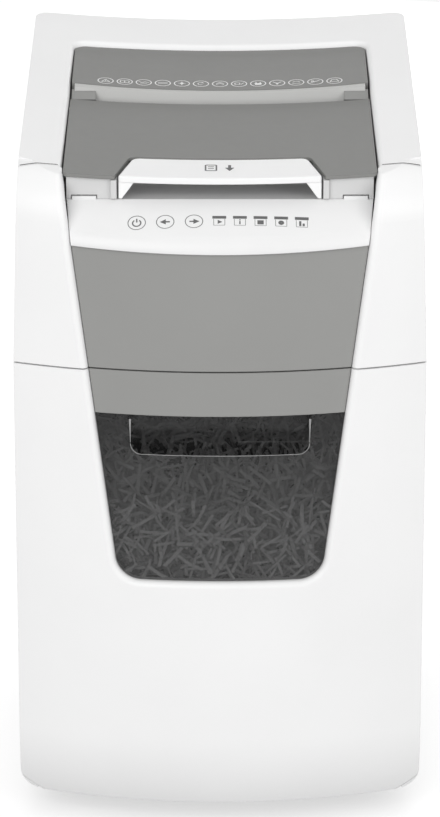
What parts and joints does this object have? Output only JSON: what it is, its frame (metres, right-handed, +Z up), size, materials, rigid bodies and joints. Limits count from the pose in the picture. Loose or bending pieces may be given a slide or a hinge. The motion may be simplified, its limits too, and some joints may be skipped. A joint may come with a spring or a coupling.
{
  "type": "paper shredder",
  "caption": "Deskside paper shredder with hinged auto-feed lid, rear manual slot, sloping touch-key deck, bowed front and pull-out bin with smoked window.",
  "frame": {"origin": "on the floor, under the middle of the machine's bounding box", "axes": "+Z up, front of the machine towards -Y, +X to the right seen from the front"},
  "size_m": [0.345, 0.3936, 0.6364],
  "materials": {
    "cabinet_shell": "fine satin moulded white",
    "bin_front": "fine satin moulded white",
    "head_housing": "fine satin moulded white",
    "top_frame": "fine satin moulded white",
    "control_panel": "fine satin moulded white",
    "lid_handle": "fine satin moulded white",
    "tray_surround": "fine satin moulded white",
    "head_panel": "satin moulded mid grey",
    "bin_panel": "satin moulded mid grey",
    "lid_plate": "satin moulded mid grey",
    "rear_deck": "satin moulded mid grey",
    "throat_guide": "satin moulded light grey",
    "end_blocks": "satin moulded light grey",
    "base_plate": "moulded black",
    "mid_deck": "moulded black",
    "paper_tray": "moulded black",
    "lid_inner": "moulded black",
    "pressure_plate": "moulded black",
    "power_inlet": "moulded black",
    "switch_bezel": "moulded black",
    "rocker_switch": "moulded black",
    "interlock_switch": "moulded black",
    "interlock_magnet": "moulded black",
    "bin_tub": "moulded black",
    "cutter_combs": "moulded black",
    "feed_brackets": "moulded black",
    "bin_window": "smoked clear plastic",
    "cabinet_rails": "zinc-plated sheet",
    "bin_slides": "zinc-plated sheet",
    "cutter_side_plates": "zinc-plated sheet",
    "tie_rods": "zinc-plated sheet",
    "drive_motor": "zinc-plated sheet",
    "feed_motor": "zinc-plated sheet",
    "cutter_shaft_front": "bright machined steel",
    "cutter_shaft_rear": "bright machined steel",
    "feed_shaft": "bright machined steel",
    "motor_shaft": "bright machined steel",
    "lid_pins": "bright machined steel",
    "back_screws": "bright machined steel",
    "shaft_bearings": "bright machined steel",
    "cutter_discs_front": "hardened dark steel",
    "cutter_discs_rear": "hardened dark steel",
    "drive_gear": "hardened dark steel",
    "motor_pinion": "hardened dark steel",
    "timing_gear_front": "natural nylon",
    "timing_gear_rear": "natural nylon",
    "feed_gear": "natural nylon",
    "feed_pinion": "natural nylon",
    "feed_rollers": "black rubber",
    "inlet_pins": "plated contact",
    "control_board": "circuit board",
    "controller_board": "circuit board",
    "caster_fork_front_left": "moulded black",
    "caster_wheel_front_left": "black rubber",
    "caster_fork_front_right": "moulded black",
    "caster_wheel_front_right": "black rubber",
    "caster_fork_rear_left": "moulded black",
    "caster_wheel_rear_left": "black rubber",
    "caster_fork_rear_right": "moulded black",
    "caster_wheel_rear_right": "black rubber"
  },
  "bodies": {
    "casing": {"cabinet_shell": "cabinet_shell", "base_plate": "base_plate", "mid_deck": "mid_deck", "cabinet_rails": "cabinet_rails", "power_inlet": "power_inlet", "inlet_pins": "inlet_pins", "switch_bezel": "switch_bezel", "interlock_switch": "interlock_switch", "head_housing": "head_housing", "top_frame": "top_frame", "head_panel": "head_panel", "rear_deck": "rear_deck", "control_panel": "control_panel", "control_board": "control_board", "tray_surround": "tray_surround", "paper_tray": "paper_tray", "throat_guide": "throat_guide", "end_blocks": "end_blocks", "cutter_side_plates": "cutter_side_plates", "tie_rods": "tie_rods", "shaft_bearings": "shaft_bearings", "cutter_combs": "cutter_combs", "drive_motor": "drive_motor", "feed_motor": "feed_motor", "feed_brackets": "feed_brackets", "controller_board": "controller_board", "back_screws": "back_screws"},
    "bin": {"bin_front": "bin_front", "bin_panel": "bin_panel", "bin_window": "bin_window", "bin_tub": "bin_tub", "bin_slides": "bin_slides", "interlock_magnet": "interlock_magnet"},
    "lid": {"lid_plate": "lid_plate", "lid_handle": "lid_handle", "lid_inner": "lid_inner", "lid_pins": "lid_pins"},
    "pressure": {"pressure_plate": "pressure_plate"},
    "cutter_front": {"cutter_shaft_front": "cutter_shaft_front", "cutter_discs_front": "cutter_discs_front", "timing_gear_front": "timing_gear_front", "drive_gear": "drive_gear"},
    "cutter_rear": {"cutter_shaft_rear": "cutter_shaft_rear", "cutter_discs_rear": "cutter_discs_rear", "timing_gear_rear": "timing_gear_rear"},
    "motor_rotor": {"motor_shaft": "motor_shaft", "motor_pinion": "motor_pinion"},
    "feed": {"feed_shaft": "feed_shaft", "feed_rollers": "feed_rollers", "feed_gear": "feed_gear"},
    "feed_rotor": {"feed_pinion": "feed_pinion"},
    "rocker": {"rocker_switch": "rocker_switch"},
    "caster_front_left": {"caster_fork_front_left": "caster_fork_front_left"},
    "wheel_front_left": {"caster_wheel_front_left": "caster_wheel_front_left"},
    "caster_front_right": {"caster_fork_front_right": "caster_fork_front_right"},
    "wheel_front_right": {"caster_wheel_front_right": "caster_wheel_front_right"},
    "caster_rear_left": {"caster_fork_rear_left": "caster_fork_rear_left"},
    "wheel_rear_left": {"caster_wheel_rear_left": "caster_wheel_rear_left"},
    "caster_rear_right": {"caster_fork_rear_right": "caster_fork_rear_right"},
    "wheel_rear_right": {"caster_wheel_rear_right": "caster_wheel_rear_right"}
  },
  "joints": [
    {"name": "bin_slide", "type": "slide", "parent": "casing", "child": "bin", "axis": [0, -1, 0], "range_m": [0, 0.3]},
    {"name": "lid_hinge", "type": "hinge", "parent": "casing", "child": "lid", "pos_m": [0, 0.009, 0.589], "axis": [-1, 0, 0], "range_deg": [0, 65]},
    {"name": "pressure_travel", "type": "slide", "parent": "lid", "child": "pressure", "axis": [0, -0.1392, 0.9903], "range_m": [0, 0.0045], "stiffness_N_per_m": 150, "springref_m": -0.02},
    {"name": "cutter_front_spin", "type": "hinge", "parent": "casing", "child": "cutter_front", "pos_m": [0, -0.001, 0.462], "axis": [1, 0, 0], "continuous": true},
    {"name": "cutter_rear_spin", "type": "hinge", "parent": "casing", "child": "cutter_rear", "pos_m": [0, 0.039, 0.462], "axis": [1, 0, 0], "continuous": true},
    {"name": "motor_spin", "type": "hinge", "parent": "casing", "child": "motor_rotor", "pos_m": [0, -0.05456, 0.4425], "axis": [1, 0, 0], "continuous": true},
    {"name": "feed_spin", "type": "hinge", "parent": "casing", "child": "feed", "pos_m": [0, -0.036, 0.5245], "axis": [1, 0, 0], "continuous": true},
    {"name": "feed_motor_spin", "type": "hinge", "parent": "casing", "child": "feed_rotor", "pos_m": [0, -0.056, 0.5245], "axis": [1, 0, 0], "continuous": true},
    {"name": "rocker_tilt", "type": "hinge", "parent": "casing", "child": "rocker", "pos_m": [-0.062, 0.194, 0.11], "axis": [1, 0, 0], "range_deg": [0, 14]},
    {"name": "caster_front_left_swivel", "type": "hinge", "parent": "casing", "child": "caster_front_left", "pos_m": [-0.118, -0.086, 0.06], "axis": [0, 0, 1], "continuous": true},
    {"name": "wheel_front_left_roll", "type": "hinge", "parent": "caster_front_left", "child": "wheel_front_left", "pos_m": [-0.118, -0.072, 0.019], "axis": [1, 0, 0], "continuous": true},
    {"name": "caster_front_right_swivel", "type": "hinge", "parent": "casing", "child": "caster_front_right", "pos_m": [0.118, -0.086, 0.06], "axis": [0, 0, 1], "continuous": true},
    {"name": "wheel_front_right_roll", "type": "hinge", "parent": "caster_front_right", "child": "wheel_front_right", "pos_m": [0.118, -0.072, 0.019], "axis": [1, 0, 0], "continuous": true},
    {"name": "caster_rear_left_swivel", "type": "hinge", "parent": "casing", "child": "caster_rear_left", "pos_m": [-0.118, 0.142, 0.06], "axis": [0, 0, 1], "continuous": true},
    {"name": "wheel_rear_left_roll", "type": "hinge", "parent": "caster_rear_left", "child": "wheel_rear_left", "pos_m": [-0.118, 0.156, 0.019], "axis": [1, 0, 0], "continuous": true},
    {"name": "caster_rear_right_swivel", "type": "hinge", "parent": "casing", "child": "caster_rear_right", "pos_m": [0.118, 0.142, 0.06], "axis": [0, 0, 1], "continuous": true},
    {"name": "wheel_rear_right_roll", "type": "hinge", "parent": "caster_rear_right", "child": "wheel_rear_right", "pos_m": [0.118, 0.156, 0.019], "axis": [1, 0, 0], "continuous": true}
  ],
  "couplings": [
    {"joint": "cutter_rear_spin", "follows": "cutter_front_spin", "ratio": -1},
    {"joint": "motor_spin", "follows": "cutter_front_spin", "ratio": -3.75},
    {"joint": "feed_motor_spin", "follows": "feed_spin", "ratio": -3}
  ]
}
